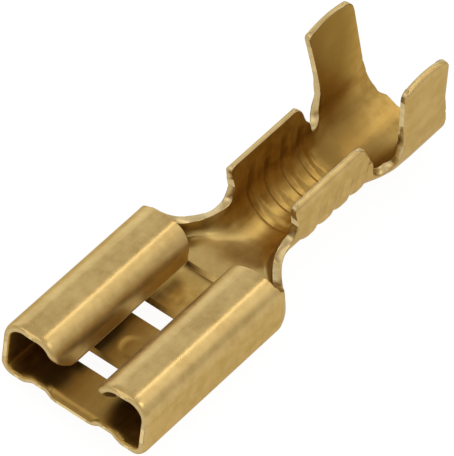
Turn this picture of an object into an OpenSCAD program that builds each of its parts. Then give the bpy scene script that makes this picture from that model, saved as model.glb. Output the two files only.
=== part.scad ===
// Female push-on spade terminal for a 6.3 x 0.8 mm tab.
// One stamped blank of brass strip: curled into a tab socket at the mouth, necked down behind it,
// and folded up into an open wire barrel and a taller open insulation barrel.
// The blank is a grid of cells. Each row is a station along the strip and has its own fold, which
// is a list of [length, turn] runs walked outwards from the centre line. Cells that the die punches
// away are left out, and the sheet gets its thickness square to the folded surface.

/* [Strip] */
// Thickness of the brass strip
sheet_t = 0.4; // [0.32:0.02:0.46]
// Thickness left at the coined mouth and at the bevelled wing tips, as a share of the strip
coined_share = 0.6; // [0.4:0.05:1]

/* [Tab socket] */
// Outside width over the two curls
socket_w = 7.8; // [7.4:0.02:8.6]
// Outside height of the curls
socket_h = 3.28; // [3:0.02:3.8]
// Length of the curls
socket_len = 9.26; // [8.9:0.02:12]
// Width of the gap between the two curls
curl_gap = 2.04; // [1.6:0.02:2.4]
// Slot between the curled lips and the floor that the tab lies on
tab_slot = 0.62; // [0.4:0.02:0.8]
// How far the front corner of each lip is set back from the mouth
lip_setback = 1.15; // [0:0.05:1.6]
// How far the floor that carries the tab stands above the feet of the curls
floor_rise = 0.28; // [0.22:0.02:0.36]
// Half width of the lead-in scoop at the mouth of the floor
scoop_half_w = 0.98; // [0.85:0.01:1.1]
// Length over which the scoop fades into the floor
scoop_len = 0.8; // [0.6:0.05:1.4]
// Width of the floor beside the scoop
shoulder_w = 0.55; // [0.35:0.05:0.7]
// Distance from the mouth to the first window
window_1_y = 2.12; // [1.6:0.02:2.4]
// Length of the first window
window_1_len = 1.06; // [0.6:0.02:1.06]
// Distance from the mouth to the second window
window_2_y = 5.83; // [5.6:0.01:6.6]
// Length of the second window
window_2_len = 1.2; // [0.6:0.05:1.5]
// Distance from the mouth to the middle of the round dish pressed into the floor
dish_y = 4.3; // [4.25:0.05:4.7]
// Diameter of the dish
dish_d = 1.5; // [1.1:0.05:1.7]
// Depth of the dish
dish_depth = 0.08; // [0.06:0.02:0.24]
// Height of the step in the floor that stops the tab
stop_h = 0.24; // [0.12:0.02:0.3]

/* [Neck] */
// Length of the neck between the socket and the wire barrel
neck_len = 3.48; // [3.2:0.02:5]
// Width of the neck over its top edges, at the waist
waist_w = 4.2; // [3.9:0.05:4.6]

/* [Wire barrel] */
// Outside width across the barrel
wire_w = 3.74; // [3.4:0.02:4.2]
// Height of the wings over the underside of the socket
wire_h = 3.92; // [3.4:0.05:5]
// Length of each wing along its foot
wire_len = 5.4; // [4.8:0.05:7]
// Number of serrations rolled across the barrel
serrations = 4; // [2:1:4]
// Depth of a serration
serration_depth = 0.18; // [0.06:0.01:0.2]

/* [Insulation barrel] */
// Length of the valley between the two pairs of wings
valley_len = 1.55; // [1.3:0.05:2.4]
// Outside width across the barrel
grip_w = 4.8; // [4.4:0.05:5.4]
// Height of the wings over the underside of the socket
grip_h = 6.87; // [5.6:0.05:8]
// Length of each wing along its foot
grip_len = 3.1; // [2.6:0.05:4]
// How far the barrel hangs below the underside of the socket
grip_drop = 0.53; // [0.2:0.01:0.7]
// Length of the cut-off tail behind the foot of the wings
tail_len = 0.92; // [0.6:0.05:1.4]

/* [Hidden] */

half_t = sheet_t / 2;

// ---- the folds ----------------------------------------------------------------------------
// Every fold has the same twelve runs out to the edge of the strip's core, so that each column can
// be followed from fold to fold. The curls and the wings carry on from there.
scoop_turn = 50;
scoop_r = half_t + 0.06;
shoulder_step_turn = 30;
shoulder_step_r = 0.4;
foot_r = 0.5;
curl_outer_r = 0.88;
curl_inner_r = 0.9;
core_curl_turn = 50;

// A step of a given height: bend up, straight, bend back.
function arc_len(r, turn) = r * abs(turn) * PI / 180;
function step_straight(h, r, turn) = (h - 2 * r * (1 - cos(turn))) / sin(turn);
function step_run(h, r, turn) = 2 * r * sin(turn) + step_straight(h, r, turn) * cos(turn);

// The scoop's side at a given turn, as [width, drop]; its runs keep their length as it flattens out.
scoop_arc = arc_len(scoop_r, scoop_turn);
scoop_straight = step_straight(floor_rise, scoop_r, scoop_turn);
function scoop_side(turn) = let (t = max(turn, 0.01), r = scoop_arc / (t * PI / 180))
    [2 * r * sin(t) + scoop_straight * cos(t), 2 * r * (1 - cos(t)) + scoop_straight * sin(t)];

socket_wall_x = socket_w / 2 - half_t;
socket_wall = socket_h - sheet_t - foot_r - curl_outer_r;
crest_flat = socket_wall_x - curl_outer_r - curl_inner_r - curl_gap / 2 - half_t;
lip_len = socket_h - half_t - curl_inner_r - floor_rise - sheet_t - tab_slot;
function foot_flat(turn) = socket_wall_x - foot_r - scoop_half_w - scoop_side(turn)[0] - shoulder_w
    - step_run(floor_rise, shoulder_step_r, shoulder_step_turn);

function socket_fold(turn) = [
    [scoop_half_w, 0],
    [scoop_arc, turn],
    [scoop_straight, 0],
    [scoop_arc, -turn],
    [shoulder_w, 0],
    [arc_len(shoulder_step_r, shoulder_step_turn), -shoulder_step_turn],
    [step_straight(floor_rise, shoulder_step_r, shoulder_step_turn), 0],
    [arc_len(shoulder_step_r, shoulder_step_turn), shoulder_step_turn],
    [foot_flat(turn), 0],
    [arc_len(foot_r, 90), 90],
    [socket_wall, 0],
    [arc_len(curl_outer_r, core_curl_turn), core_curl_turn]
];
SOCKET_FOLD = socket_fold(0);
CURL_FOLD = [
    [arc_len(curl_outer_r, 90 - core_curl_turn), 90 - core_curl_turn],
    [crest_flat, 0],
    [arc_len(curl_inner_r, 90), 90],
    [lip_len, 0]
];

// An open trough: a level floor, one long bend shared out over the runs, and a straight wall.
BEND_SHARES = [0.1, 0.06, 0.06, 0.06, 0.06, 0.08, 0.08, 0.08, 0.08, 0.34];
function trough_fold(floor_run, r, turn, wall) = concat(
    [for (k = [0 : 9]) [arc_len(r, turn), turn] * BEND_SHARES[k] + (k == 0 ? [floor_run, 0] : [0, 0])],
    [[wall / 2, 0], [wall / 2, 0]]
);

// A round-bottomed barrel whose wings lean out by a few degrees.
wire_lean = 4;
grip_lean = 5.5;
function barrel_fold(r, lean, wall) = trough_fold(0, r, 90 - lean, wall);

wire_r = (wire_w / 2 - half_t) / cos(wire_lean);
grip_r = (grip_w / 2 - half_t) / cos(grip_lean);
wing_foot_z = 2.4;
wire_floor_z = half_t;
grip_floor_z = half_t - grip_drop;
// Wall left under a wing's foot once the bend has come round from the floor.
function foot_wall(floor_z, r, lean) = (wing_foot_z - floor_z - r * (1 - sin(lean))) / cos(lean);
valley_turn = 74;

// The cheeks behind the curls: a level floor, a dip into the foot, then the corner, wall and edge.
FLOOR_SHARES = [0.5, 0.15, 0.1, 0.15, 0.1];
edge_len = 0.3;
function cheek_fold(floor_run, dip_turn, foot_run, r, turn, wall, edge_turn) = concat(
    [for (share = FLOOR_SHARES) [floor_run * share, 0]],
    [[0.2, -dip_turn], [0.3, 0], [0.2, dip_turn], [foot_run, 0]],
    [[arc_len(r, turn), turn], [wall, 0], [edge_len, edge_turn]]
);
socket_growth = (socket_w - 7.8) / 2;
waist_growth = (waist_w - 4.24) / 2;
// Just behind the notch the shoulder is cut down to a short upright edge.
NOTCH_FOLD = [for (k = [0 : 11]) k < 11 ? SOCKET_FOLD[k] : [0.38, 30]];
// The walls lean in as they are squeezed towards the neck, and open out again at the waist.
CHEEK_FOLD = cheek_fold(1.9 + socket_growth, 30, 0.62, 0.55, 113, 0.95, -16);
SQUEEZE_FOLD = cheek_fold(1.4 + socket_growth, 24, 0.5, 0.55, 113, 0.25, -18);
THROAT_FOLD = cheek_fold(1 + socket_growth / 2, 12, 0.2, 0.63, 100, 0.1, -8);
FLARE_FOLD = trough_fold(1.14 + waist_growth, 0.95, 80, 0.3);
WAIST_FOLD = trough_fold(0.45 + waist_growth, 1.3, 70, 0.43);
COLLAR_FOLD = trough_fold(0.2, 1.45, 85, 0.24);
WIRE_FOLD = barrel_fold(wire_r, wire_lean, foot_wall(wire_floor_z, wire_r, wire_lean));
GRIP_FOLD = barrel_fold(grip_r, grip_lean, foot_wall(grip_floor_z, grip_r, grip_lean));
// Between the barrels the strip opens from one radius to the other and its edges dip.
function mix(a, b, u) = a + (b - a) * u;
function join_floor_z(u) = mix(wire_floor_z, grip_floor_z, u);
function join_fold(u, turn, wall) = trough_fold(0, mix(wire_r, grip_r, u), turn, wall);
heel_share = 0.12;
HEEL_FOLD = barrel_fold(mix(wire_r, grip_r, heel_share), wire_lean,
    foot_wall(join_floor_z(heel_share), mix(wire_r, grip_r, heel_share), wire_lean));

// ---- stations along the strip, from the mouth -----------------------------------------------
// The curls are cut free at the notch, and the neck starts a little behind it.
notch_y = socket_len;
root_y = notch_y + 0.36;
stop_y = root_y - 0.04;
shoulder_y = notch_y + 0.24;
cheek_y = root_y + neck_len * 0.12;
squeeze_y = root_y + neck_len * 0.26;
throat_y = root_y + neck_len * 0.4;
flare_y = root_y + neck_len * 0.52;
waist_y = root_y + neck_len * 0.72;
collar_y = root_y + neck_len * 0.88;
wire_y = root_y + neck_len;
wire_end_y = wire_y + wire_len;
valley_front_y = wire_end_y + valley_len * 0.26;
valley_rear_y = wire_end_y + valley_len * 0.74;
grip_y = wire_end_y + valley_len;
grip_end_y = grip_y + grip_len;
tail_y = grip_end_y + tail_len;
drop_y = wire_end_y - 0.5;

// [station, fold, height of the floor's middle]
KEYS = [
    [notch_y, SOCKET_FOLD, half_t + floor_rise],
    [shoulder_y, NOTCH_FOLD, half_t + floor_rise],
    [cheek_y, CHEEK_FOLD, half_t + floor_rise],
    [squeeze_y, SQUEEZE_FOLD, half_t + floor_rise],
    [throat_y, THROAT_FOLD, half_t + floor_rise * 0.9],
    [flare_y, FLARE_FOLD, half_t + floor_rise * 0.75],
    [waist_y, WAIST_FOLD, half_t + floor_rise * 0.4],
    [collar_y, COLLAR_FOLD, half_t + floor_rise * 0.15],
    [wire_y, WIRE_FOLD, wire_floor_z],
    [drop_y, WIRE_FOLD, wire_floor_z],
    [wire_end_y, HEEL_FOLD, join_floor_z(heel_share)],
    [valley_front_y, join_fold(0.35, valley_turn, 0.02), join_floor_z(0.35)],
    [valley_rear_y, join_fold(0.75, valley_turn, 0.02), join_floor_z(0.8)],
    [grip_y, GRIP_FOLD, grip_floor_z],
    [tail_y, GRIP_FOLD, grip_floor_z]
];

function clamp01(u) = max(0, min(1, u));
function smooth(a, b, v) = let (u = clamp01((v - a) / (b - a))) u * u * (3 - 2 * u);

// Within the scoop the fold is the socket's with the scoop's sides turned down.
function scoop_turn_at(y) = scoop_turn * (1 - smooth(0, scoop_len, y));
function socket_fold_at(y) = y < scoop_len ? socket_fold(scoop_turn_at(y)) : SOCKET_FOLD;
function socket_floor_z(y) = half_t + floor_rise - scoop_side(scoop_turn_at(y))[1];

// ---- walking a fold ---------------------------------------------------------------------------
// A place on the section is [x, z, heading].
function advance(p, run, f) = let (turn = run[1] * f, length = run[0] * f)
    abs(run[1]) < 0.01
        ? [p[0] + length * cos(p[2]), p[1] + length * sin(p[2]), p[2]]
        : let (r = run[0] / (run[1] * PI / 180))
            [p[0] + r * (sin(p[2] + turn) - sin(p[2])), p[1] - r * (cos(p[2] + turn) - cos(p[2])),
                p[2] + turn];
function places(p, fold) = [for (k = 0, q = p; k <= len(fold); q = k < len(fold)
    ? advance(q, fold[k], 1) : q, k = k + 1) q];

// Columns: each core run is split into cells, and so is each run of a curl or a wing.
CORE_CELLS = [2, 2, 1, 2, 1, 2, 1, 1, 1, 4, 1, 2];
CURL_CELLS = [3, 1, 5, 3];
WING_CELLS = 5;
function column_list(cells) = [for (k = [0 : len(cells) - 1]) for (c = [1 : cells[k]]) [k, c / cells[k]]];
CORE_COLUMNS = concat([[0, 0]], column_list(CORE_CELLS));
CURL_COLUMNS = column_list(CURL_CELLS);
core_n = len(CORE_COLUMNS) - 1;
curl_n = len(CURL_COLUMNS);

// A column of a folded section, as [x, z, heading, length from the centre line].
function fold_run(fold, k) = k == 0 ? 0 : fold_run(fold, k - 1) + fold[k - 1][0];
function section_place(fold, floor_z, j) = let (column = CORE_COLUMNS[j], run = fold[column[0]],
    p = advance(places([0, floor_z, 0], fold)[column[0]], run, column[1]))
    [p[0], p[1], p[2], fold_run(fold, column[0]) + run[0] * column[1]];

// Behind the socket each column follows a curve through its places on the keys' sections. Slopes
// come from the neighbours, and are level at the ends and wherever a neighbour is the same.
SECTIONS = [for (key = KEYS) [for (j = [0 : core_n]) section_place(key[1], key[2], j)]];
key_n = len(KEYS) - 1;
SLOPES = [for (i = [0 : key_n]) i == 0 || i == key_n || KEYS[i][1] == KEYS[i - 1][1]
    || KEYS[i][1] == KEYS[i + 1][1] ? SECTIONS[i] * 0
    : (SECTIONS[i + 1] - SECTIONS[i - 1]) / (KEYS[i + 1][0] - KEYS[i - 1][0])];
function key_index(y) = max([for (i = [0 : key_n - 1]) if (i == 0 || y >= KEYS[i][0]) i]);
function key_curve(y, i, j) =
    let (d = KEYS[i + 1][0] - KEYS[i][0], u = clamp01((y - KEYS[i][0]) / d))
    SECTIONS[i][j] * (1 + u * u * (2 * u - 3)) + SECTIONS[i + 1][j] * (u * u * (3 - 2 * u))
        + SLOPES[i][j] * (d * u * (1 - u) * (1 - u)) - SLOPES[i + 1][j] * (d * u * u * (1 - u));
function core_place(y, j) = y <= notch_y ? section_place(socket_fold_at(y), socket_floor_z(y), j)
    : key_curve(y, key_index(y), j);
function core_s(y, j) = core_place(y, j)[3];
function curl_place(j) = let (column = CURL_COLUMNS[j - core_n - 1])
    advance(places(core_place(0, core_n), CURL_FOLD)[column[0]], CURL_FOLD[column[0]], column[1]);

// A wing rises straight from the core's edge, with its columns crowded under the tip.
WING_BANDS = [0, 0, 0.65, 0.35, 0.1, 0];
function wing_u(j, top_z) = let (k = j - core_n) k == 0 ? 0 : k == 1 ? 0.45
    : 1 - WING_BANDS[k] / (top_z - wing_foot_z);
function wing_place(y, j, top_z) = let (foot = core_place(y, core_n),
    rise = (top_z - foot[1]) * wing_u(j, top_z))
    [foot[0] + rise / tan(foot[2]), foot[1] + rise, foot[2]];

// ---- the blank's outline ---------------------------------------------------------------------
// Front edge of a curl: the lip's corner is swept back along a quarter wave.
curl_run = CURL_FOLD[0][0] + CURL_FOLD[1][0] + CURL_FOLD[2][0] + CURL_FOLD[3][0];
lip_sweep = 1.5;
function run_before(k) = k == 0 ? 0 : run_before(k - 1) + CURL_FOLD[k - 1][0];
function curl_s(j) = let (column = CURL_COLUMNS[j - core_n - 1])
    run_before(column[0]) + CURL_FOLD[column[0]][0] * column[1];
function curl_front(j) = lip_setback
    * (1 - cos(90 * clamp01((curl_s(j) - curl_run + lip_sweep) / lip_sweep)));

// Edges of a wing: they lean with height, and the top corners are rounded.
function corner_cut(u, top, foot, r) = let (d = clamp01((u * (top - foot) - (top - foot) + r) / r))
    r * (1 - sqrt(1 - d * d * 0.999));
wire_front_lean = -0.16;
wire_rear_lean = -0.75;
wire_corner_r = 0.45;
grip_front_lean = -0.9;
grip_rear_lean = -0.95;
grip_corner_r = 0.5;
function wire_front(u) = wire_y + wire_front_lean * u + corner_cut(u, wire_h, wing_foot_z, wire_corner_r);
function wire_rear(u) = wire_end_y + wire_rear_lean * pow(u, 0.7)
    - corner_cut(u, wire_h, wing_foot_z, wire_corner_r);
function grip_front(u) = grip_y + grip_front_lean * u + corner_cut(u, grip_h, wing_foot_z, grip_corner_r);
function grip_rear(u) = grip_end_y + grip_rear_lean * pow(u, 0.8)
    - corner_cut(u, grip_h, wing_foot_z, grip_corner_r);
// Rear end of the core: a square cut-off tail in the middle, swept forward to the wings' feet.
tail_half_w = 1.25;
function core_rear(j) = let (s = core_s(tail_y, j), s_edge = core_s(tail_y, core_n))
    s <= tail_half_w ? tail_y
        : tail_y - 0.27 * tail_len * smooth(tail_half_w, tail_half_w + 0.5, s)
            - 0.73 * tail_len * pow(clamp01((s - tail_half_w) / (s_edge - tail_half_w)), 1.5);

// ---- rows ----------------------------------------------------------------------------------------
function between(a, b, n) = [for (i = [1 : n]) a + (b - a) * i / n];
coin_run = 0.12;
dish_rows = [for (i = [-2 : 2]) dish_y + dish_d / 2 * i / 2];
serration_start = wire_y + 1.3;
serration_pitch = (wire_end_y - 0.6 - serration_start) / (serrations - 1);
serration_rows = [for (i = [0 : serrations - 1]) for (f = [-0.25, 0, 0.25])
    serration_start + (i + f) * serration_pitch];
SOCKET_ROWS = concat([0, coin_run, scoop_len / 2, scoop_len, window_1_y, window_1_y + window_1_len],
    dish_rows, [window_2_y, window_2_y + window_2_len, notch_y]);
neck_rows = 12;
NECK_ROWS = concat([notch_y + 0.1, notch_y + 0.2, stop_y, root_y],
    [for (i = [1 : neck_rows]) root_y + (wire_y - root_y) * pow(i / neck_rows, 1.25)]);
WIRE_ROWS = concat([serration_start - 0.75], serration_rows, [wire_end_y]);
VALLEY_ROWS = [for (u = [0.12, 0.26, 0.5, 0.74, 0.88, 1]) wire_end_y + valley_len * u];
rear_blend_y = grip_y + grip_len / 2;
GRIP_ROWS = concat([grip_y + grip_len / 4, rear_blend_y], between(rear_blend_y, tail_y, 5));
ROWS = concat(SOCKET_ROWS, NECK_ROWS, WIRE_ROWS, VALLEY_ROWS, GRIP_ROWS);
row_n = len(ROWS) - 1;
notch_row = len(SOCKET_ROWS) - 1;
wire_row = notch_row + len(NECK_ROWS);
wire_end_row = wire_row + len(WIRE_ROWS);
grip_row = wire_end_row + len(VALLEY_ROWS);

function share_of(i, a, b) = (ROWS[i] - ROWS[a]) / (ROWS[b] - ROWS[a]);

function core_y(i, j) = ROWS[i] <= rear_blend_y ? ROWS[i]
    : mix(rear_blend_y, core_rear(j), (ROWS[i] - rear_blend_y) / (tail_y - rear_blend_y));
function row_y(i, j) = j <= core_n ? core_y(i, j)
    : i <= notch_row ? mix(curl_front(j), notch_y, share_of(i, 0, notch_row))
    : i <= wire_end_row ? mix(wire_front(wing_u(j, wire_h)), wire_rear(wing_u(j, wire_h)),
        share_of(i, wire_row, wire_end_row))
    : mix(grip_front(wing_u(j, grip_h)), grip_rear(wing_u(j, grip_h)), share_of(i, grip_row, row_n));

// ---- pressed details, as shifts of the sheet along its normal ----------------------------------
function dish_lift(x, y) = let (d = norm([x, y - dish_y]) / (dish_d / 2))
    d >= 1 ? 0 : -dish_depth * (1 - d * d);
// The floor is sheared up at the stop and runs back down to the wire barrel.
stop_half_s = 1.8;
function stop_lift(y, s) = y <= stop_y ? 0 : stop_h * clamp01((y - stop_y) / (root_y - stop_y))
    * (1 - smooth(stop_half_s, stop_half_s + 0.8, s)) * (1 - smooth(squeeze_y, collar_y, y));
serration_half_s = 2.3;
function serration_lift(y, s) = let (f = (y - serration_start) / serration_pitch,
    off = abs(f - max(0, min(serrations - 1, round(f)))))
    -serration_depth * max(0, 1 - off * 4) * (1 - smooth(serration_half_s - 0.6, serration_half_s, s));

function middle_place(i, j, y) = j <= core_n ? core_place(y, j)
    : i <= notch_row ? curl_place(j)
    : i <= wire_end_row ? wing_place(max(wire_y, min(drop_y, y)), j, wire_h)
    : wing_place(max(grip_y, y), j, grip_h);

// Coined edges: the sheet thins towards the mouth, and the wings' tips are bevelled outside.
TIP_SHARES = [1, 1, 1, 0.72, 0.15, -0.4];
function inner_share(i) = i == 0 ? coined_share : 1;
function outer_share(i, j) = i == 0 ? 1 - (1 - coined_share) / 4
    : i > notch_row && j > core_n ? TIP_SHARES[j - core_n] : 1;

probe = 0.02;
// One grid place gives its inner and its outer point.
function sheet_points(i, j) =
    let (y = row_y(i, j), p = middle_place(i, j, y),
        a = middle_place(i, j, y - probe), b = middle_place(i, j, y + probe),
        along = [b[0] - a[0], 2 * probe, b[1] - a[1]],
        across = [cos(p[2]), 0, sin(p[2])],
        normal = cross(across, along) / norm(cross(across, along)),
        lift = j > core_n ? 0 : dish_lift(p[0], y) + stop_lift(y, core_s(y, j))
            + serration_lift(y, core_s(y, j)),
        middle = [p[0], y, p[1]] + normal * lift)
    [middle + normal * half_t * inner_share(i), middle - normal * half_t * outer_share(i, j)];

// ---- the grid of cells ------------------------------------------------------------------------
reach = core_n + max(curl_n, WING_CELLS);
// A row's last column: the curls and the wings reach further than the core.
function row_reach(i) = i <= notch_row ? core_n + curl_n
    : (i >= wire_row && i <= wire_end_row) || i >= grip_row ? core_n + WING_CELLS : core_n;
window_column = 8;
function in_window(i) = ROWS[i] == window_1_y || ROWS[i] == window_2_y;
// Cell (i, j) lies between rows i and i + 1 and between columns j and j + 1 of one half.
function has_cell(i, j) = i >= 0 && i < row_n && j >= 0
    && j < min(row_reach(i), row_reach(i + 1))
    && (j < core_n || !(i == notch_row || i == wire_end_row))
    && !(in_window(i) && j < window_column);

// Points are numbered row by row, right half then left half; the centre column is shared.
side_points = [for (i = [0 : row_n]) for (j = [0 : row_reach(i)]) sheet_points(i, j)];
ROW_COUNTS = [for (i = [0 : row_n]) row_reach(i) + 1];
ROW_STARTS = [for (i = 0, at = 0; i <= row_n; at = at + ROW_COUNTS[i], i = i + 1) at];
half_n = len(side_points);
function flip(p) = [-p[0], p[1], p[2]];
POINTS = concat([for (pair = side_points) pair[0]], [for (pair = side_points) pair[1]],
    [for (pair = side_points) flip(pair[0])], [for (pair = side_points) flip(pair[1])]);
// Index of a grid place: side 0 is right and 1 left, face 0 is inner and 1 outer.
function at(side, face, i, j) = ROW_STARTS[i] + j + half_n * (face + (j == 0 ? 0 : 2 * side));

function quad(a, b, c, d) = [[a, b, c], [a, c, d]];
function turned(side, faces) = side == 0 ? faces : [for (f = faces) [f[2], f[1], f[0]]];
// Faces of one cell: the two skins, and a wall wherever its neighbour is missing.
function cell_faces(side, i, j) = turned(side, concat(
    quad(at(side, 0, i, j), at(side, 0, i + 1, j), at(side, 0, i + 1, j + 1), at(side, 0, i, j + 1)),
    quad(at(side, 1, i, j), at(side, 1, i, j + 1), at(side, 1, i + 1, j + 1), at(side, 1, i + 1, j)),
    has_cell(i - 1, j) ? []
        : quad(at(side, 0, i, j), at(side, 0, i, j + 1), at(side, 1, i, j + 1), at(side, 1, i, j)),
    has_cell(i + 1, j) ? []
        : quad(at(side, 0, i + 1, j + 1), at(side, 0, i + 1, j), at(side, 1, i + 1, j),
            at(side, 1, i + 1, j + 1)),
    has_cell(i, j + 1) ? []
        : quad(at(side, 0, i, j + 1), at(side, 0, i + 1, j + 1), at(side, 1, i + 1, j + 1),
            at(side, 1, i, j + 1)),
    j == 0 || has_cell(i, j - 1) ? []
        : quad(at(side, 0, i + 1, j), at(side, 0, i, j), at(side, 1, i, j), at(side, 1, i + 1, j))
));
FACES = [for (side = [0, 1]) for (i = [0 : row_n - 1]) for (j = [0 : reach - 1])
    if (has_cell(i, j)) for (f = cell_faces(side, i, j)) f];

// ---- placing ------------------------------------------------------------------------------------
skin_y = [for (pair = side_points) for (p = pair) p[1]];
middle_y = (min(skin_y) + max(skin_y)) / 2;
lowest_z = min([for (pair = side_points) pair[1][2]]);

module terminal_body() {
    color("goldenrod")
        translate([0, -middle_y, -lowest_z])
            polyhedron(points = POINTS, faces = FACES, convexity = 12);
}

terminal_body();
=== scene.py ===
"""Female push-on spade terminal, stamped and folded from one strip of brass.

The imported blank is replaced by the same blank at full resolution: the folds below repeat the
part's own named sizes, and the cut faces, corners and pressed marks are added to them.
"""
import math

import bmesh
import bpy
import numpy as np
from mathutils import Matrix, Vector


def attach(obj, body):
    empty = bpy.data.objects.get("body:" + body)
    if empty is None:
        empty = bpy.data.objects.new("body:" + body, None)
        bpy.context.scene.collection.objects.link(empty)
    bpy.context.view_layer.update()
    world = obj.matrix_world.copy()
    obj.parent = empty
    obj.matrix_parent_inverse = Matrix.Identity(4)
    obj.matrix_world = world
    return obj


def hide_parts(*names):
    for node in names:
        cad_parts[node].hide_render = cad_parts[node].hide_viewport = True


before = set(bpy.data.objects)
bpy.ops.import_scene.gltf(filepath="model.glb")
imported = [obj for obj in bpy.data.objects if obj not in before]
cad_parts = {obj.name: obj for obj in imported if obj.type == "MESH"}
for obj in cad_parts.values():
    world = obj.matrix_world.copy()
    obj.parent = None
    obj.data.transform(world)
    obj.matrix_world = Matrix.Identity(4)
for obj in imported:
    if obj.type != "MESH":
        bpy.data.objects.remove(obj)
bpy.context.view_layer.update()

MM = 0.001

# ---- strip and sizes, in millimetres, as the part names them ------------------------------
sheet_t = 0.4
half_t = sheet_t / 2
coined_share = 0.6
socket_w, socket_h, socket_len = 7.8, 3.28, 9.26
curl_gap, tab_slot, lip_setback = 2.04, 0.62, 1.15
floor_rise, scoop_half_w, scoop_len, shoulder_w = 0.28, 0.98, 0.8, 0.55
window_1_y, window_1_len = 2.12, 1.06
window_2_y, window_2_len = 5.83, 1.2
dish_y, dish_d, dish_depth = 4.3, 1.5, 0.08
stop_h = 0.24
neck_len, waist_w = 3.48, 4.2
wire_w, wire_h, wire_len = 3.74, 3.92, 5.4
serrations, serration_depth = 4, 0.18
valley_len = 1.55
grip_w, grip_h, grip_len, grip_drop = 4.8, 6.87, 3.1, 0.53
tail_len = 0.92
grip_bow = 0.2  # how far the tips of the tall wings fall from their middle to their ends

scoop_turn = 50
scoop_r = half_t + 0.06
lead_in = 0.34  # the scoop's drop at the mouth has ended by here
shoulder_step_turn, shoulder_step_r = 30, 0.4
foot_r, curl_outer_r, curl_inner_r = 0.5, 0.88, 0.9
core_curl_turn = 50


def arc_len(r, turn):
    return r * abs(turn) * math.pi / 180


def step_straight(h, r, turn):
    a = math.radians(turn)
    return (h - 2 * r * (1 - math.cos(a))) / math.sin(a)


def step_run(h, r, turn):
    a = math.radians(turn)
    return 2 * r * math.sin(a) + step_straight(h, r, turn) * math.cos(a)


scoop_arc = arc_len(scoop_r, scoop_turn)
scoop_straight = step_straight(floor_rise, scoop_r, scoop_turn)


def scoop_side(turn):
    """Width and drop of the scoop's side at a given turn."""
    t = np.radians(np.maximum(turn, 0.01))
    r = scoop_arc / t
    return (
        2 * r * np.sin(t) + scoop_straight * np.cos(t),
        2 * r * (1 - np.cos(t)) + scoop_straight * np.sin(t),
    )


socket_wall_x = socket_w / 2 - half_t
socket_wall = socket_h - sheet_t - foot_r - curl_outer_r
crest_flat = socket_wall_x - curl_outer_r - curl_inner_r - curl_gap / 2 - half_t
lip_len = socket_h - half_t - curl_inner_r - floor_rise - sheet_t - tab_slot


def socket_folds(turn):
    """The socket's fold for each scoop turn: runs of length and turn out from the centre line."""
    turn = np.asarray(turn, float)
    one = np.ones_like(turn)
    foot_flat = (
        socket_wall_x - foot_r - scoop_half_w - scoop_side(turn)[0] - shoulder_w
        - step_run(floor_rise, shoulder_step_r, shoulder_step_turn)
    )
    runs = [
        (scoop_half_w, 0), (scoop_arc, turn), (scoop_straight, 0), (scoop_arc, -turn),
        (shoulder_w, 0),
        (arc_len(shoulder_step_r, shoulder_step_turn), -shoulder_step_turn),
        (step_straight(floor_rise, shoulder_step_r, shoulder_step_turn), 0),
        (arc_len(shoulder_step_r, shoulder_step_turn), shoulder_step_turn),
        (foot_flat, 0),
        (arc_len(foot_r, 90), 90),
        (socket_wall, 0),
        (arc_len(curl_outer_r, core_curl_turn), core_curl_turn),
    ]
    return np.stack([np.stack([one * a, one * b], -1) for a, b in runs], -2)


SOCKET_FOLD = socket_folds(0.0)
CURL_FOLD = np.array([
    [arc_len(curl_outer_r, 90 - core_curl_turn), 90 - core_curl_turn],
    [crest_flat, 0],
    [arc_len(curl_inner_r, 90), 90],
    [lip_len, 0],
])

BEND_SHARES = (0.1, 0.06, 0.06, 0.06, 0.06, 0.08, 0.08, 0.08, 0.08, 0.34)
FLOOR_SHARES = (0.5, 0.15, 0.1, 0.15, 0.1)


def trough_fold(floor_run, r, turn, wall):
    """A level floor, one long bend and a straight wall."""
    rows = [[arc_len(r, turn) * s, turn * s] for s in BEND_SHARES]
    rows[0][0] += floor_run
    return np.array(rows + [[wall / 2, 0], [wall / 2, 0]])


def cheek_fold(floor_run, dip_turn, foot_run, r, turn, wall, edge_turn):
    """A level floor, a dip into the foot, then the corner, wall and edge."""
    rows = [[floor_run * s, 0] for s in FLOOR_SHARES]
    rows += [[0.2, -dip_turn], [0.3, 0], [0.2, dip_turn], [foot_run, 0]]
    return np.array(rows + [[arc_len(r, turn), turn], [wall, 0], [0.3, edge_turn]])


wire_lean, grip_lean = 4, 5.5
wire_r = (wire_w / 2 - half_t) / math.cos(math.radians(wire_lean))
grip_r = (grip_w / 2 - half_t) / math.cos(math.radians(grip_lean))
wing_foot_z = 2.4
wire_floor_z, grip_floor_z = half_t, half_t - grip_drop
valley_turn = 74


def barrel_fold(floor_z, r, lean):
    a = math.radians(lean)
    wall = (wing_foot_z - floor_z - r * (1 - math.sin(a))) / math.cos(a)
    return trough_fold(0, r, 90 - lean, wall)


def mix(a, b, u):
    return a + (b - a) * u


def join_floor_z(u):
    return mix(wire_floor_z, grip_floor_z, u)


def join_fold(u, turn, wall):
    return trough_fold(0, mix(wire_r, grip_r, u), turn, wall)


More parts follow.
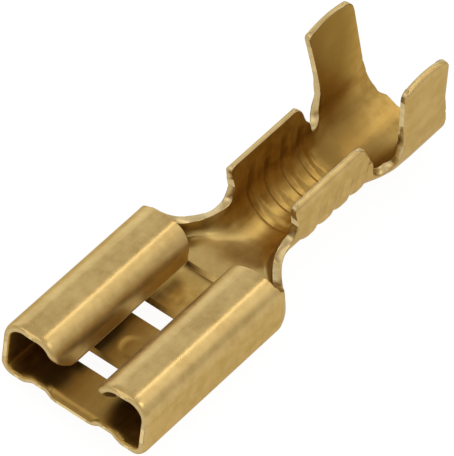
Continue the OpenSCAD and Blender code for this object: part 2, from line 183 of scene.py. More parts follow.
socket_growth = (socket_w - 7.8) / 2
waist_growth = (waist_w - 4.24) / 2
NOTCH_FOLD = np.array(SOCKET_FOLD)
NOTCH_FOLD[11] = 0.38, 30
CHEEK_FOLD = cheek_fold(1.9 + socket_growth, 30, 0.62, 0.55, 113, 0.95, -16)
SQUEEZE_FOLD = cheek_fold(1.4 + socket_growth, 24, 0.5, 0.55, 113, 0.25, -18)
THROAT_FOLD = cheek_fold(1 + socket_growth / 2, 12, 0.2, 0.63, 100, 0.1, -8)
FLARE_FOLD = trough_fold(1.14 + waist_growth, 0.95, 80, 0.3)
WAIST_FOLD = trough_fold(0.45 + waist_growth, 1.3, 70, 0.43)
COLLAR_FOLD = trough_fold(0.2, 1.45, 85, 0.17)
WIRE_FOLD = barrel_fold(wire_floor_z, wire_r, wire_lean)
GRIP_FOLD = barrel_fold(grip_floor_z, grip_r, grip_lean)
heel_share = 0.12
HEEL_FOLD = barrel_fold(join_floor_z(heel_share), mix(wire_r, grip_r, heel_share), wire_lean)

# ---- stations along the strip, from the mouth ------------------------------------------------
notch_y = socket_len
root_y = notch_y + 0.36
stop_y = root_y - 0.04
wire_y = root_y + neck_len
wire_end_y = wire_y + wire_len
grip_y = wire_end_y + valley_len
grip_end_y = grip_y + grip_len
tail_y = grip_end_y + tail_len
drop_y = wire_end_y - 0.5
neck_station = lambda share: root_y + neck_len * share
squeeze_y, collar_y = neck_station(0.26), neck_station(0.88)

KEYS = [
    (notch_y, SOCKET_FOLD, half_t + floor_rise),
    (notch_y + 0.24, NOTCH_FOLD, half_t + floor_rise),
    (neck_station(0.12), CHEEK_FOLD, half_t + floor_rise),
    (squeeze_y, SQUEEZE_FOLD, half_t + floor_rise),
    (neck_station(0.4), THROAT_FOLD, half_t + floor_rise * 0.9),
    (neck_station(0.52), FLARE_FOLD, half_t + floor_rise * 0.75),
    (neck_station(0.72), WAIST_FOLD, half_t + floor_rise * 0.4),
    (collar_y, COLLAR_FOLD, half_t + floor_rise * 0.15),
    (wire_y, WIRE_FOLD, wire_floor_z),
    (drop_y, WIRE_FOLD, wire_floor_z),
    (wire_end_y, HEEL_FOLD, join_floor_z(heel_share)),
    (wire_end_y + valley_len * 0.26, join_fold(0.35, valley_turn, 0.02), join_floor_z(0.35)),
    (wire_end_y + valley_len * 0.74, join_fold(0.75, valley_turn, 0.02), join_floor_z(0.8)),
    (grip_y, GRIP_FOLD, grip_floor_z),
    (tail_y, GRIP_FOLD, grip_floor_z),
]
KEY_Y = np.array([k[0] for k in KEYS])
WING_KEYS = [i for i, key in enumerate(KEYS) if key[0] in (wire_y, grip_y)]
foot_climb = 2.9


def smooth(a, b, v):
    u = np.clip((v - a) / (b - a), 0, 1)
    return u * u * (3 - 2 * u)


# ---- walking a fold ------------------------------------------------------------------------------
def advance(x, z, heading, length, turn):
    """One run of the fold: an arc, taken as the chord that it spans."""
    chord = length * np.sinc(turn / 2 / math.pi)
    middle = heading + turn / 2
    return x + chord * np.cos(middle), z + chord * np.sin(middle), heading + turn


def walk(x, z, heading, fold, run, share):
    """x, z and heading after run whole runs of the fold and a share of the next."""
    for k in range(fold.shape[-2]):
        part = np.clip(run + share - k, 0, 1)
        x, z, heading = advance(x, z, heading, fold[..., k, 0] * part, np.radians(fold[..., k, 1]) * part)
    return x, z, heading


def run_length(fold, run, share):
    part = np.clip((run + share)[..., None] - np.arange(fold.shape[-2]), 0, 1)
    return (fold[..., 0] * part).sum(-1)


def whole_and_share(column, runs):
    k = np.minimum(np.floor(column), runs - 1)
    return k, column - k


def section(fold, floor_z, column):
    """x, z, heading and length from the centre line, at a column of a folded section."""
    run, share = whole_and_share(column, 12)
    zero = np.zeros(column.shape)
    fold = np.broadcast_to(fold, column.shape + fold.shape[-2:])
    return np.stack([*walk(zero, floor_z + zero, zero, fold, run, share), run_length(fold, run, share)], -1)


def core_sheet(y, column):
    """The core's middle surface: the socket's own fold, then a curve through the keys' sections."""
    turn = scoop_turn * (1 - smooth(0, lead_in, y))
    socket = section(socket_folds(turn), half_t + floor_rise - scoop_side(turn)[1], column)
    keyed = np.stack([section(fold, floor_z, column) for _, fold, floor_z in KEYS])
    # Slopes come from the neighbours, and are level at the ends and where a neighbour is the same.
    slope = np.zeros_like(keyed)
    for i in range(1, len(KEYS) - 1):
        if KEYS[i][1] is not KEYS[i - 1][1] and KEYS[i][1] is not KEYS[i + 1][1]:
            slope[i] = (keyed[i + 1] - keyed[i - 1]) / (KEY_Y[i + 1] - KEY_Y[i - 1])
    i = np.clip(np.searchsorted(KEY_Y, y, side="right") - 1, 0, len(KEYS) - 2)
    d = (KEY_Y[i + 1] - KEY_Y[i])[..., None]
    u = np.clip((y - KEY_Y[i])[..., None] / d, 0, 1)

    def at(values, k):
        return np.take_along_axis(values, k[None, ..., None], 0)[0]

    # The walls' edge climbs steeply into the foot of a wing.
    at_foot = smooth(9.5, 11, column) * np.isin(i + 1, WING_KEYS)
    climb = at_foot[..., None] * (0, foot_climb, 0, foot_climb)
    end_slope = at(slope, i + 1) + climb * (at(keyed, i + 1) - at(keyed, i)) / d
    curve = (
        at(keyed, i) * (1 + u * u * (2 * u - 3)) + at(keyed, i + 1) * (u * u * (3 - 2 * u))
        + at(slope, i) * (d * u * (1 - u) ** 2) - end_slope * (d * u * u * (1 - u))
    )
    return np.where((y <= notch_y)[..., None], socket, curve)


# ---- columns: cells of each run, from the centre line to the edge --------------------------------
CORE_CELLS = (10, 4, 1, 4, 5, 3, 2, 3, 7, 12, 9, 9)
CURL_CELLS = (9, 5, 18, 5)
WING_STEPS = [k / 16 for k in range(1, 17)]
TIP_BANDS = (0.8, 0.6, 0.45, 0.32, 0.2, 0.11, 0.05, 0)
tip_bevel, side_bevel = 0.5, 0.36


def columns(cells):
    return [k + c / n for k, n in enumerate(cells) for c in range(1, n + 1)]


core_columns = np.array([0.0] + columns(CORE_CELLS))
curl_columns = np.array(columns(CURL_CELLS))
core_n = len(core_columns) - 1
curl_n = len(curl_columns)
wing_n = len(WING_STEPS) + len(TIP_BANDS)


def core_place(y, column):
    return np.moveaxis(core_sheet(y, column)[..., :3], -1, 0)


def core_s(y, column):
    return core_sheet(y, column)[..., 3]


def curl_place(column):
    run, share = whole_and_share(column, 4)
    x, z, heading = core_place(np.full(column.shape, scoop_len), np.full(column.shape, 12.0))
    return walk(x, z, heading, np.broadcast_to(CURL_FOLD, column.shape + CURL_FOLD.shape), run, share)


def wing_u(k, top_z):
    """Share of a wing's height at each of its columns: even steps, then narrow bands at the tip."""
    rise = top_z - wing_foot_z
    steps = np.array([0.0] + [s * (rise - TIP_BANDS[0] - 0.04) / rise for s in WING_STEPS]
                     + [1 - b / rise for b in TIP_BANDS])
    return steps[k]


def wing_place(y, u, top_z):
    x, z, heading = core_place(y, np.full(y.shape, 12.0))
    rise = (top_z - z) * u
    return x + rise / np.tan(heading), z + rise, heading


# ---- the blank's outline --------------------------------------------------------------------------
curl_run = CURL_FOLD[:, 0].sum()
lip_sweep = 1.5


def curl_s(column):
    run, share = whole_and_share(column, 4)
    return run_length(np.broadcast_to(CURL_FOLD, column.shape + CURL_FOLD.shape), run, share)


def curl_front(column):
    u = np.clip((curl_s(column) - curl_run + lip_sweep) / lip_sweep, 0, 1)
    return lip_setback * (1 - np.cos(np.pi / 2 * u))


def corner_cut(u, top, r):
    d = np.clip((u * (top - wing_foot_z) - (top - wing_foot_z) + r) / r, 0, 1)
    return r * (1 - np.sqrt(1 - d * d * 0.999))


def wing_edges(u, front_y, rear_y, top, front_lean, rear_lean, foot_lean, power, front_r, rear_r):
    above = u * (top - wing_foot_z)
    foot = foot_lean * above * np.exp(-above / 0.4)
    return (front_y + front_lean * u ** 1.2 + foot + corner_cut(u, top, front_r),
            rear_y + rear_lean * u ** power - corner_cut(u, top, rear_r))


def wire_edges(u):
    return wing_edges(u, wire_y, wire_end_y, wire_h, -0.45, -0.75, 0.2, 0.7, 0.4, 0.5)


def grip_edges(u):
    return wing_edges(u, grip_y, grip_end_y, grip_h, -1.05, -0.95, 0.1, 1, 0.4, 0.6)


tail_half_w = 1.25


def core_rear(column):
    y = np.full(column.shape, tail_y)
    s, s_edge = core_s(y, column), core_s(y, np.full(column.shape, 12.0))
    bow = np.clip((s - tail_half_w) / (s_edge - tail_half_w), 0, 1) ** 1.5
    return tail_y - tail_len * (0.27 * smooth(tail_half_w, tail_half_w + 0.5, s) + 0.73 * bow)


# ---- rows -------------------------------------------------------------------------------------------
def evenly(a, b, pitch):
    n = max(1, round((b - a) / pitch))
    return [a + (b - a) * i / n for i in range(1, n + 1)]


serration_start = wire_y + 1.3
serration_pitch = (wire_end_y - 0.6 - serration_start) / (serrations - 1)
rear_blend_y = grip_y + grip_len / 2

rows = [0.0]
for stop_at, pitch in (
    (0.4, 0.05), (scoop_len, 0.1), (window_1_y, 0.22), (window_1_y + window_1_len, 0.2),
    (dish_y - dish_d / 2, 0.2), (dish_y + dish_d / 2, 0.08), (window_2_y, 0.2),
    (window_2_y + window_2_len, 0.2), (notch_y - 0.4, 0.25), (notch_y, 0.1),
):
    rows += evenly(rows[-1], stop_at, pitch)
notch_row = len(rows) - 1
rows += evenly(notch_y, stop_y, 0.04)
rows += evenly(stop_y, root_y, 0.04)
rows += evenly(root_y, collar_y, 0.085)
rows += evenly(collar_y, wire_y, 0.04)
wire_row = len(rows) - 1
rows += evenly(wire_y, wire_y + 0.36, 0.06)
rows += evenly(rows[-1], serration_start - 0.3, 0.12)
rows += evenly(rows[-1], wire_end_y - 0.3, 0.06)
rows += evenly(rows[-1], wire_end_y, 0.06)
wire_end_row = len(rows) - 1
rows += evenly(wire_end_y, grip_y, 0.1)
grip_row = len(rows) - 1
rows += evenly(grip_y, grip_y + 0.36, 0.06)
rows += evenly(rows[-1], rear_blend_y, 0.14)
rows += evenly(rear_blend_y, tail_y - 0.36, 0.13)
rows += evenly(rows[-1], tail_y, 0.06)
rows = np.array(rows)
row_n = len(rows) - 1

reach = core_n + max(curl_n, wing_n)
grid_i, grid_j = np.meshgrid(np.arange(row_n + 1), np.arange(reach + 1), indexing="ij")
in_core = grid_j <= core_n
on_curl = ~in_core & (grid_i <= notch_row)
on_wire = ~in_core & ~on_curl & (grid_i <= wire_end_row)
on_grip = ~in_core & (grid_i > wire_end_row)

core_at = core_columns[np.minimum(grid_j, core_n)]
curl_at = curl_columns[np.clip(grid_j - core_n - 1, 0, curl_n - 1)]
wing_k = np.clip(grid_j - core_n, 0, wing_n)
wire_u_at, grip_u_at = wing_u(wing_k, wire_h), wing_u(wing_k, grip_h)


def share_of(a, b):
    return np.clip((rows[grid_i] - rows[a]) / (rows[b] - rows[a]), 0, 1)


station = rows[grid_i]
rear_share = (station - rear_blend_y) / (tail_y - rear_blend_y)
core_station = np.where(station <= rear_blend_y, station, mix(rear_blend_y, core_rear(core_at), rear_share))
wire_edge, grip_edge = wire_edges(wire_u_at), grip_edges(grip_u_at)
row_y = np.select(
    [in_core, on_curl, on_wire],
    [core_station,
     mix(curl_front(curl_at), notch_y, share_of(0, notch_row)),
     mix(*wire_edge, share_of(wire_row, wire_end_row))],
    mix(*grip_edge, share_of(grip_row, row_n)),
)


def middle_place(y):
    core = core_place(y, core_at)
    curl = curl_place(curl_at)
    wire = wing_place(np.clip(y, wire_y, drop_y), wire_u_at, wire_h)
    grip_top = grip_h - grip_bow * (2 * share_of(grip_row, row_n) - 1) ** 2
    grip = wing_place(np.maximum(y, grip_y), grip_u_at, grip_top)
    return [np.select([in_core, on_curl, on_wire], [a, b, c], d)
            for a, b, c, d in zip(core, curl, wire, grip)]


# ---- pressed details, as shifts of the sheet along its normal ------------------------------------
dish_share, dish_flat = 0.5, 0.6


def dish_lift(x, y):
    d = np.hypot(x, y - dish_y) / (dish_d / 2)
    return -dish_depth * dish_share * (1 - smooth(dish_flat, 1, d))


# How far the stop and the serrations reach from the centre line, measured along the sheet.
stop_half_s, stop_fade_s = 1.8, 0.8
serration_full_s, serration_end_s = 2.0, 4.2
groove_flat, groove_edge = 0.12, 0.3


def stop_lift(y, s):
    rise = np.clip((y - stop_y) / (root_y - stop_y), 0, 1)
    across = 1 - smooth(stop_half_s, stop_half_s + stop_fade_s, s)
    return stop_h * rise * across * (1 - smooth(squeeze_y, collar_y, y))


def serration_lift(y, s):
    f = (y - serration_start) / serration_pitch
    off = np.abs(f - np.clip(np.round(f), 0, serrations - 1))
    groove = 1 - smooth(groove_flat, groove_edge, off)
    return -serration_depth * groove * (1 - smooth(serration_full_s, serration_end_s, s))


# The neck is drawn smooth along the strip, then the core relaxes into soft bowls in the neck and in
# the valley. The socket stays.
def relaxed(x, z):
    core_x, core_z = x[:, :core_n + 1].copy(), z[:, :core_n + 1].copy()
    at_row = rows[:, None]
    neck = (smooth(root_y - 0.2, root_y + 0.3, at_row)
            * (1 - smooth(collar_y - 0.2, wire_y + 0.3, at_row)))
    valley = (smooth(wire_end_y - 0.3, wire_end_y + 0.4, at_row)
              * (1 - smooth(grip_y + 0.4, grip_y + 1.2, at_row)))
    # First along the strip, so that the neck's edges run in one sweep.
    before, after = np.diff(rows)[:-1, None], np.diff(rows)[1:, None]
    sweep = (smooth(root_y + 0.3, root_y + 0.8, at_row)
             * (1 - smooth(collar_y - 0.1, collar_y + 0.25, at_row)))[1:-1] * 0.5
    for _ in range(sweep_passes):
        for grid in (core_x, core_z):
            mean = (grid[:-2] * after + grid[2:] * before) / (before + after)
            grid[1:-1] += sweep * (mean - grid[1:-1])
    from_edge = (edge_s - strip_s)[:, :core_n + 1]
    amount = np.maximum(neck, valley) * smooth(0.15, 0.7, from_edge) * 0.5
    for _ in range(relax_passes):
        for grid, mirror in ((core_x, -1), (core_z, 1)):
            padded = np.pad(grid, 1, mode="edge")
            padded[1:-1, 0] = mirror * grid[:, 1]
            mean = (padded[:-2, 1:-1] + padded[2:, 1:-1] + padded[1:-1, :-2] + padded[1:-1, 2:]) / 4
            grid += amount * (mean - grid)
    out_x, out_z = x.copy(), z.copy()
    out_x[:, :core_n + 1], out_z[:, :core_n + 1] = core_x, core_z
    slack = np.zeros_like(x)
    slack[:, :core_n + 1] = np.clip(amount * 4, 0, 1)
    return out_x, out_z, slack


sweep_passes, relax_passes = 40, 60
probe = 0.02
x, z, heading = middle_place(row_y)
ahead, behind = middle_place(row_y + probe), middle_place(row_y - probe)
along = np.stack([ahead[0] - behind[0], np.full(x.shape, 2 * probe), ahead[1] - behind[1]], -1)
across = np.stack([np.cos(heading), 0 * x, np.sin(heading)], -1)
normal = np.cross(across, along)
normal /= np.linalg.norm(normal, axis=-1, keepdims=True)
strip_s = np.where(in_core, core_s(row_y, core_at), 0)
edge_s = core_s(row_y, np.full(x.shape, 12.0))
strip_s = np.where(on_curl, edge_s + curl_s(curl_at), strip_s)
strip_s = np.where(on_wire, edge_s + wire_u_at * (wire_h - wing_foot_z), strip_s)
strip_s = np.where(on_grip, edge_s + grip_u_at * (grip_h - wing_foot_z), strip_s)
x, z, slack = relaxed(x, z)
sheet = np.stack([x, row_y, z], -1)[:, :core_n + 1]
sheet_along, sheet_across = np.gradient(sheet, axis=0), np.gradient(sheet, axis=1)
sheet_across[:, 0] = (1, 0, 0)
sheet_normal = np.cross(sheet_across, sheet_along)
sheet_normal /= np.linalg.norm(sheet_normal, axis=-1, keepdims=True)
share = slack[:, :core_n + 1, None]
normal[:, :core_n + 1] = normal[:, :core_n + 1] * (1 - share) + sheet_normal * share
normal /= np.linalg.norm(normal, axis=-1, keepdims=True)
groove = np.where(in_core | on_wire, serration_lift(row_y, strip_s), 0)
lift = np.where(in_core, dish_lift(x, row_y) + stop_lift(row_y, strip_s), 0)
middle = np.stack([x, row_y, z], -1) + normal * lift[..., None]

# Coined edges: the sheet rounds down to the mouth, and the wings' tips are bevelled outside.
coin_len = 0.36
from_mouth = np.where(on_curl, row_y - curl_front(curl_at), row_y)
coin_u = np.where(grid_i <= notch_row, np.clip(1 - from_mouth / coin_len, 0, 1), 0)
coin = 1 - np.sqrt(1 - coin_u ** 2)
above_foot = np.where(on_wire, wire_u_at * (wire_h - wing_foot_z), grip_u_at * (grip_h - wing_foot_z))
below_tip = np.where(on_wire, wire_h - wing_foot_z, grip_h - wing_foot_z) - above_foot
edge_y = np.where(on_wire, wire_edge, grip_edge)
from_side = np.minimum(row_y - edge_y[0], edge_y[1] - row_y)
side_fade, side_share = 1.3, 0.5
coin_cut, tip_cut = 0.75, 1.5
groove_through = 0.6
tip_u = np.clip(1 - below_tip / tip_bevel, 0, 1)
side_u = np.clip(1 - from_side / side_bevel, 0, 1) * smooth(0, side_fade, above_foot)
tip = np.maximum(1 - np.sqrt(1 - tip_u ** 2), (1 - np.sqrt(1 - side_u ** 2)) * side_share)
tip = np.where(on_wire | on_grip, tip, 0)
inner_t = half_t * (1 - (1 - coined_share) * coin)
outer_t = half_t * (1 - coin_cut * coin - tip_cut * tip)
# A serration is sharp inside and comes through the strip softer.
skins = [middle + normal * (inner_t + groove)[..., None],
         middle - normal * (outer_t - groove * groove_through)[..., None]]
# The mouth and the tail are cut square.
for skin in skins:
    skin[..., 1] = np.clip(skin[..., 1], 0, tail_y)

# ---- the grid of cells --------------------------------------------------------------------------------
row_index = np.arange(row_n + 1)
row_reach = np.where(row_index <= notch_row, core_n + curl_n, core_n)
winged = (row_index >= wire_row) & (row_index <= wire_end_row) | (row_index >= grip_row)
row_reach = np.where(winged, core_n + wing_n, row_reach)
window_column = sum(CORE_CELLS[:5])


def in_window(i):
    return any(a - 1e-6 <= rows[i] < a + length - 1e-6
               for a, length in ((window_1_y, window_1_len), (window_2_y, window_2_len)))


has_cell = np.zeros((row_n + 2, reach + 2), bool)
for i in range(row_n):
    n = min(row_reach[i], row_reach[i + 1])
    has_cell[i, :n] = True
    if i in (notch_row, wire_end_row):
        has_cell[i, core_n:] = False
    if in_window(i):
        has_cell[i, :window_column] = False

INNER_FACE, OUTER_FACE, CUT_FACE, WINDOW_FACE = 0, 1, 2, 3
# The right curl sags a little towards its lip.
crest_x, roll_sag = socket_wall_x - curl_outer_r, 0.09
mesh = bmesh.new()
strip_map = mesh.loops.layers.uv.new("Strip")
corner = {}


def vertex(side, face, i, j):
    key = (0 if j == 0 else side, face, i, j)
    if key not in corner:
        px, py, pz = skins[face][i, j]
        if on_curl[i, j] and key[0] == 0:
            inward = max(0.0, crest_x - px)
            pz -= roll_sag * inward * inward / (inward + 0.5)
        corner[key] = mesh.verts.new((-px if key[0] else px, py, pz))
    return corner[key]


def quad(side, corners, material):
    if side:
        corners = corners[::-1]
    f = mesh.faces.new([vertex(side, *c) for c in corners])
    f.material_index = material
    f.smooth = True
    for loop, (face, i, j) in zip(f.loops, corners):
        loop[strip_map].uv = ((-1 if side else 1) * strip_s[i, j], row_y[i, j])


for side in (0, 1):
    for i in range(row_n):
        for j in range(reach):
            if not has_cell[i, j]:
                continue
            a, b, c, d = (i, j), (i + 1, j), (i + 1, j + 1), (i, j + 1)
            quad(side, [(0, *a), (0, *b), (0, *c), (0, *d)], INNER_FACE)
            quad(side, [(1, *a), (1, *d), (1, *c), (1, *b)], OUTER_FACE)
            # The windows' cut faces take the darker window slot, as painted shade.
            punched = WINDOW_FACE if 0 < i < notch_row else CUT_FACE
            if i == 0 or not has_cell[i - 1, j]:
                quad(side, [(0, *a), (0, *d), (1, *d), (1, *a)], punched)
            if not has_cell[i + 1, j]:
                quad(side, [(0, *c), (0, *b), (1, *b), (1, *c)], punched)
            if not has_cell[i, j + 1]:
                quad(side, [(0, *d), (0, *c), (1, *c), (1, *d)], CUT_FACE)
            if j > 0 and not has_cell[i, j - 1]:
                quad(side, [(0, *b), (0, *a), (1, *a), (1, *b)], punched)

# Round the cut edges over, as tumbling does.
edge_round = 0.04
sharp = [e for e in mesh.edges if len(e.link_faces) == 2
         and e.link_faces[0].material_index != e.link_faces[1].material_index]
bmesh.ops.bevel(mesh, geom=sharp, offset=edge_round, offset_type="OFFSET", segments=2, profile=0.5,
                affect="EDGES", clamp_overlap=False, material=-1)
for f in mesh.faces:
    f.smooth = True

all_y = np.array([v.co.y for v in mesh.verts])
shift = Matrix.Scale(MM, 4) @ Matrix.Translation((0, -(all_y.min() + all_y.max()) / 2, grip_drop))
bmesh.ops.transform(mesh, matrix=shift, verts=mesh.verts)
bmesh.ops.recalc_face_normals(mesh, faces=mesh.faces)
terminal_mesh = bpy.data.meshes.new("brass_terminal")
mesh.to_mesh(terminal_mesh)
mesh.free()
terminal = bpy.data.objects.new("brass_terminal", terminal_mesh)
bpy.context.scene.collection.objects.link(terminal)
print("brass_terminal:", len(terminal_mesh.vertices), "vertices", len(terminal_mesh.polygons), "faces")


# ---- shader maths --------------------------------------------------------------------------------------
class Signal:
    """A shader socket that can be used in Python expressions."""

    def __init__(self, tree, socket):
        self.tree, self.socket = tree, socket

    def node(self, kind, settings=None, inputs=None, output=0):
        made = self.tree.nodes.new(kind)
        for name, value in (settings or {}).items():
            if name == "stops":
                ramp = made.color_ramp
                while len(ramp.elements) < len(value):
                    ramp.elements.new(0.5)
                for element, (at, colour) in zip(ramp.elements, value):
                    element.position, element.color = at, colour
            else:
                setattr(made, name, value)
        for name, value in (inputs or {}).items():
            if isinstance(value, Signal):
                self.tree.links.new(value.socket, made.inputs[name])
            else:
                made.inputs[name].default_value = value
        return Signal(self.tree, made.outputs[output])

    def _maths(self, operation, *values):
        return self.node("ShaderNodeMath", {"operation": operation}, dict(enumerate(values)))

    def __add__(self, other):
        return self._maths("ADD", self, other)

    __radd__ = __add__

    def __sub__(self, other):
        return self._maths("SUBTRACT", self, other)

    def __rsub__(self, other):
        return self._maths("SUBTRACT", other, self)

    def __mul__(self, other):
        return self._maths("MULTIPLY", self, other)

    __rmul__ = __mul__

    def __truediv__(self, other):
        return self._maths("DIVIDE", self, other)

    def __pow__(self, other):
        return self._maths("POWER", self, other)

    def absolute(self):
        return self._maths("ABSOLUTE", self)

    def step(self, low, high):
        """0 below low, 1 above high, smooth between."""
        return self.node("ShaderNodeMapRange", {"interpolation_type": "SMOOTHSTEP"},
                         {"Value": self, "From Min": low, "From Max": high})

    def blend(self, low, high):
        """Colour low where this is 0, high where it is 1."""
        mixer = self.tree.nodes.new("ShaderNodeMix")
        mixer.data_type = "RGBA"
        self.tree.links.new(self.socket, mixer.inputs[0])
        for index, value in ((6, low), (7, high)):
            if isinstance(value, Signal):
                self.tree.links.new(value.socket, mixer.inputs[index])
            else:
                mixer.inputs[index].default_value = (*value, 1)
        return Signal(self.tree, mixer.outputs[2])

    def scaled(self, factors):
        return self.node("ShaderNodeVectorMath", {"operation": "MULTIPLY"}, {0: self, 1: factors})

    def noise(self, scale, detail=2.0, roughness=0.5):
        return self.node("ShaderNodeTexNoise", {"noise_dimensions": "3D"},
                         {"Vector": self, "Scale": scale, "Detail": detail, "Roughness": roughness})


def material(name, constants):
    made = bpy.data.materials.new(name)
    made.use_nodes = True
    tree = made.node_tree
    shader = tree.nodes["Principled BSDF"]
    for socket, value in constants.items():
        shader.inputs[socket].default_value = value
    return made, tree, shader, Signal(tree, None)


def feed(tree, shader, **signals):
    for socket, signal in signals.items():
        tree.links.new(signal.socket, shader.inputs[socket.replace("_", " ")])


# Where the curl turns down to its lip, measured along the strip from the centre line.
lip_s = float(SOCKET_FOLD[:, 0].sum() + CURL_FOLD[:2, 0].sum())

# Dark and light tones of the rolled faces, mixed at random. The inside's pair is darker and browner than
# the outside's as painted shade; the neck gets a paler tone as painted light, and the socket floor and the
# valley a dark brown as painted shade.
INNER_PAINTED_SHADE_TONES = (0.36, 0.212, 0.05), (0.53, 0.342, 0.096)
OUTER_TONES = (0.45, 0.302, 0.108), (0.57, 0.402, 0.158)
NECK_PAINTED_LIGHT = (0.46, 0.335, 0.133)
FLOOR_PAINTED_SHADE = (0.17, 0.088, 0.018)


# Rolled strip: satin brass drawn lengthwise, mottled, and ringed by the tool at the mouth. The outside is
# rubbed by the rolling tools; the inside stays duller, and its darker, browner tones are painted shade.
def rolled_brass(name, dark, light, dullness, paints_light_and_shade):
    made, tree, shader, start = material(name, {"Metallic": 1.0, "Specular Tint": (0.74, 0.64, 0.47, 1)})
    strip = start.node("ShaderNodeUVMap", {"uv_map": "Strip"})
    along = strip.node("ShaderNodeSeparateXYZ", None, {"Vector": strip}, output=1)
    place = start.node("ShaderNodeTexCoord", output=3).scaled((1000, 1000, 1000))
    barrel = along.step(notch_y - 0.5, wire_y + 1.0)
    mouth = 1 - along.step(0.15, 0.75)
    out_from_middle = strip.node("ShaderNodeSeparateXYZ", None, {"Vector": strip}).absolute()
    lip = out_from_middle.step(lip_s, lip_s + 1.0) * (1 - barrel)
    streaks = strip.scaled((3.5, 0.3, 1)).noise(1.0, 2, 0.6)
    fine = strip.scaled((9, 0.8, 1)).noise(1.0, 1, 0.6)
    rings = strip.scaled((0.8, 16, 1)).noise(1.0, 2, 0.6)
    patches = place.noise(0.5, 4, 0.6)
    mottle = place.noise(2.0, 2, 0.55)
    tone = (streaks * 0.2 + patches * 0.45 + mottle * 0.3 + fine * 0.05).step(0.33, 0.67)
    colour = tone.blend(dark, light)
    # Only the inside gets the painted light and painted shade below.
    if paints_light_and_shade:
        floor = (1 - out_from_middle.step(1.6, 3.0)) * (1 - along.step(5.0, 8.5))
        valley = (along.step(wire_end_y - 0.5, wire_end_y + 0.5)
                  * (1 - along.step(grip_y + 1.2, grip_y + 3.2)))
        neck = along.step(8.3, root_y + 0.6) * (1 - along.step(wire_y - 1.0, wire_y + 0.6))
        # Painted light: a paler, less orange tone painted over the neck, where it catches light.
        colour = (neck * 0.6).blend(colour, NECK_PAINTED_LIGHT)
        # Painted shade: the socket floor between the curls and the valley between the barrels are darkened
        # towards a dark brown, mottled at random.
        colour = ((floor * 0.6 + valley * 0.55) * (mottle + 0.5)).blend(colour, FLOOR_PAINTED_SHADE)
    roughness = (streaks * 0.06 + fine * 0.04 + patches * 0.1 + mottle * 0.08 + barrel * 0.04
                 + lip * 0.16 + dullness)
    relief = streaks * 0.4 + mottle * 0.35 + rings * mouth * 1.2
    bump = start.node("ShaderNodeBump", None, {"Strength": 0.28, "Distance": 0.00003, "Height": relief})
    feed(tree, shader, Base_Color=colour, Roughness=roughness, Normal=bump)
    return made


# Sheared edges: paler and drier, with fine tears square to the sheet.
def sheared_brass():
    made, tree, shader, start = material(
        "sheared_brass", {"Metallic": 1.0, "Specular Tint": (0.8, 0.7, 0.55, 1)})
    place = start.node("ShaderNodeTexCoord", output=3).scaled((1000, 1000, 1000))
    tears = place.noise(2.2, 3, 0.6)
    grain = place.noise(12.0, 3, 0.6)
    colour = (tears * 0.6 + grain * 0.4).step(0.3, 0.7).blend((0.48, 0.35, 0.15), (0.60, 0.46, 0.23))
    bump = start.node("ShaderNodeBump", None, {"Strength": 0.1, "Distance": 0.00002, "Height": grain})
    feed(tree, shader, Base_Color=colour, Roughness=tears * 0.12 + 0.27, Normal=bump)
    return made


terminal_mesh.materials.append(rolled_brass("inner_brass", *INNER_PAINTED_SHADE_TONES, 0.22, True))
terminal_mesh.materials.append(rolled_brass("outer_brass", *OUTER_TONES, 0.15, False))
terminal_mesh.materials.append(sheared_brass())
# The window slot reuses the inside's darker brass, as painted shade on the windows' cut faces.
terminal_mesh.materials.append(terminal_mesh.materials[INNER_FACE])

terminal.modifiers.new("flat_cuts", "WEIGHTED_NORMAL")

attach(terminal, "root")
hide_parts("terminal_body")

# ---- floor, lights and camera -----------------------------------------------------------------------
floor_mesh = bpy.data.meshes.new("floor")
floor_half = 0.6
floor_mesh.from_pydata(
    [(-floor_half, -floor_half, 0), (floor_half, -floor_half, 0),
     (floor_half, floor_half, 0), (-floor_half, floor_half, 0)], [], [(0, 1, 2, 3)])
floor = bpy.data.objects.new("floor", floor_mesh)
bpy.context.scene.collection.objects.link(floor)
floor_paint, _, _, _ = material("floor_white", {
    "Base Color": (0.08, 0.08, 0.08, 1), "Roughness": 0.9, "Specular IOR Level": 0.0,
    "Emission Color": (1, 1, 1, 1), "Emission Strength": 0.94})
floor_mesh.materials.append(floor_paint)

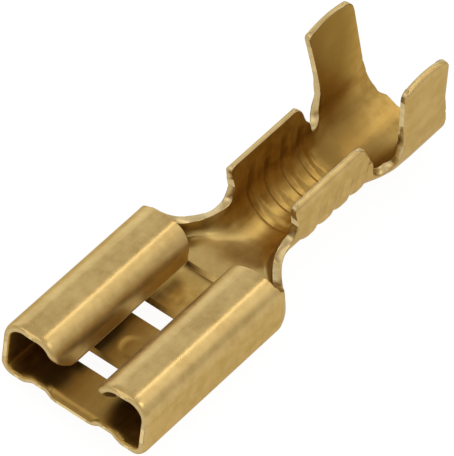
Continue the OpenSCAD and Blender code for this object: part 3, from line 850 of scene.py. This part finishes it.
world = bpy.data.worlds.new("studio")
bpy.context.scene.world = world
world.use_nodes = True
world.node_tree.nodes["Background"].inputs["Color"].default_value = (1, 1, 1, 1)
world.node_tree.nodes["Background"].inputs["Strength"].default_value = 0.8


def softbox(name, toward, size, radiance, colour=(1, 1, 1), distance=0.35):
    """An area light of a given brightness, in the given direction from the terminal and facing it."""
    light = bpy.data.lights.new(name, "AREA")
    light.shape = "RECTANGLE"
    light.size, light.size_y = size
    light.energy = radiance * math.pi * size[0] * size[1]
    light.color = colour
    made = bpy.data.objects.new(name, light)
    bpy.context.scene.collection.objects.link(made)
    away = Vector(toward).normalized()
    made.location = away * distance
    made.rotation_euler = away.to_track_quat("Z", "Y").to_euler()
    return made


softbox("left_window", (-0.80, 0.572, 0.33), (0.5, 0.26), 0.6, (0.85, 1.0, 1.35))
softbox("strip_lamp", (-0.03, 0.572, 0.82), (0.03, 0.3), 3.8)
softbox("front_fill", (-0.36, -0.64, 0.68), (0.25, 0.2), 0.9)
softbox("right_screen", (0.36, 0.572, 0.74), (0.2, 0.35), 0.55)
softbox("neck_lamp", (0.55, 0.0, 0.83), (0.1, 0.1), 4.2)

# ---- camera: a long lens looking down over the mouth ------------------------------------------------
image_w, image_h = 454, 456
focal = 7017
eye = Vector((0.10795, -0.17573, 0.22294))
view = Vector((-0.35954, 0.57182, -0.73740))
right = Vector((0.78887, 0.60835, 0.08711))
up = Vector((-0.49841, 0.55039, 0.66982))
aim = (focal * view + (image_w / 2 - 187.74) * right + (294.85 - image_h / 2) * up).normalized()
level = (right - aim * right.dot(aim)).normalized()
crown = level.cross(aim)
camera_data = bpy.data.cameras.new("camera")
camera_data.sensor_fit = "VERTICAL"
camera_data.sensor_height = 24
camera_data.lens = focal / image_h * 24
camera_data.clip_start, camera_data.clip_end = 0.01, 10
camera = bpy.data.objects.new("camera", camera_data)
bpy.context.scene.collection.objects.link(camera)
camera.matrix_world = Matrix((
    (level.x, crown.x, -aim.x, eye.x),
    (level.y, crown.y, -aim.y, eye.y),
    (level.z, crown.z, -aim.z, eye.z),
    (0, 0, 0, 1),
))
bpy.context.scene.camera = camera
bpy.context.scene.view_settings.view_transform = "Standard"
